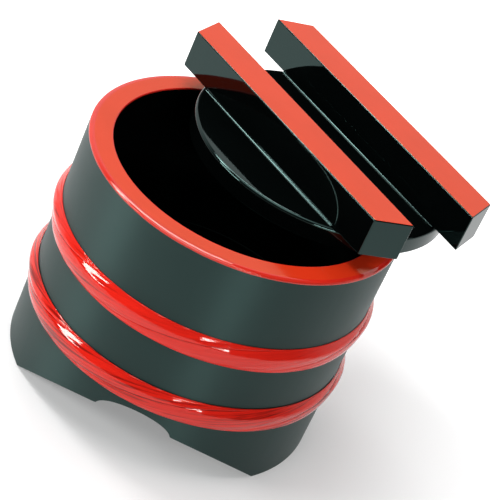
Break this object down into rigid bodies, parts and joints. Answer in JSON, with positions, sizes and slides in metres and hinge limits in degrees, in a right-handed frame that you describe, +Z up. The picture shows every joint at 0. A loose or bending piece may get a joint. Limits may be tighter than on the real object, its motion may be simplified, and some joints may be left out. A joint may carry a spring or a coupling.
{
  "type": "udon serving tub",
  "caption": "Round lacquered serving tub with a thick red rim, twisted red hoops, an arched foot and a loose lid that carries two lifting bars.",
  "frame": {"origin": "the middle of the footprint of tub and lid together, at the level of the surface that the tub stands on; the tub's axis is at X -0.0198, Y -0.0206", "axes": "+Z up and parallel to the tub's axis, -Y out through the arch at the front, +X to the right of it"},
  "size_m": [0.2842, 0.2858, 0.2308],
  "materials": {
    "black_lacquer": "mirror-gloss black lacquer over wood, with vermilion lacquer on the rim and on the tops of the lid bars",
    "red_hoop_lacquer": "glossy red lacquer over twisted split bamboo",
    "bare_wood": "bare wood, hidden"
  },
  "bodies": {
    "tub": {"stave_01": "black_lacquer", "stave_02": "black_lacquer", "stave_03": "black_lacquer", "stave_04": "black_lacquer", "stave_05": "black_lacquer", "stave_06": "black_lacquer", "stave_07": "black_lacquer", "stave_08": "black_lacquer", "stave_09": "black_lacquer", "stave_10": "black_lacquer", "stave_11": "black_lacquer", "stave_12": "black_lacquer", "stave_13": "black_lacquer", "stave_14": "black_lacquer", "stave_15": "black_lacquer", "stave_16": "black_lacquer", "bottom_plank_left": "black_lacquer", "bottom_plank_middle": "black_lacquer", "bottom_plank_right": "black_lacquer", "bottom_plank_peg_1": "bare_wood", "bottom_plank_peg_2": "bare_wood", "bottom_plank_peg_3": "bare_wood", "bottom_plank_peg_4": "bare_wood", "upper_hoop_strand_1": "red_hoop_lacquer", "upper_hoop_strand_2": "red_hoop_lacquer", "upper_hoop_strand_3": "red_hoop_lacquer", "lower_hoop_strand_1": "red_hoop_lacquer", "lower_hoop_strand_2": "red_hoop_lacquer", "lower_hoop_strand_3": "red_hoop_lacquer"},
    "lid": {"lid_plank_left": "black_lacquer", "lid_plank_middle": "black_lacquer", "lid_plank_right": "black_lacquer", "lid_bar_front": "black_lacquer", "lid_bar_rear": "black_lacquer", "lid_plank_peg_1": "bare_wood", "lid_plank_peg_2": "bare_wood", "lid_plank_peg_3": "bare_wood", "lid_plank_peg_4": "bare_wood", "lid_bar_peg_1": "bare_wood", "lid_bar_peg_2": "bare_wood", "lid_bar_peg_3": "bare_wood", "lid_bar_peg_4": "bare_wood", "lid_bar_peg_5": "bare_wood", "lid_bar_peg_6": "bare_wood"}
  },
  "joints": [
    {"name": "lid_lift", "type": "slide", "parent": "tub", "child": "lid", "axis": [0, 0, 1], "range_m": [0, 0.12]}
  ]
}
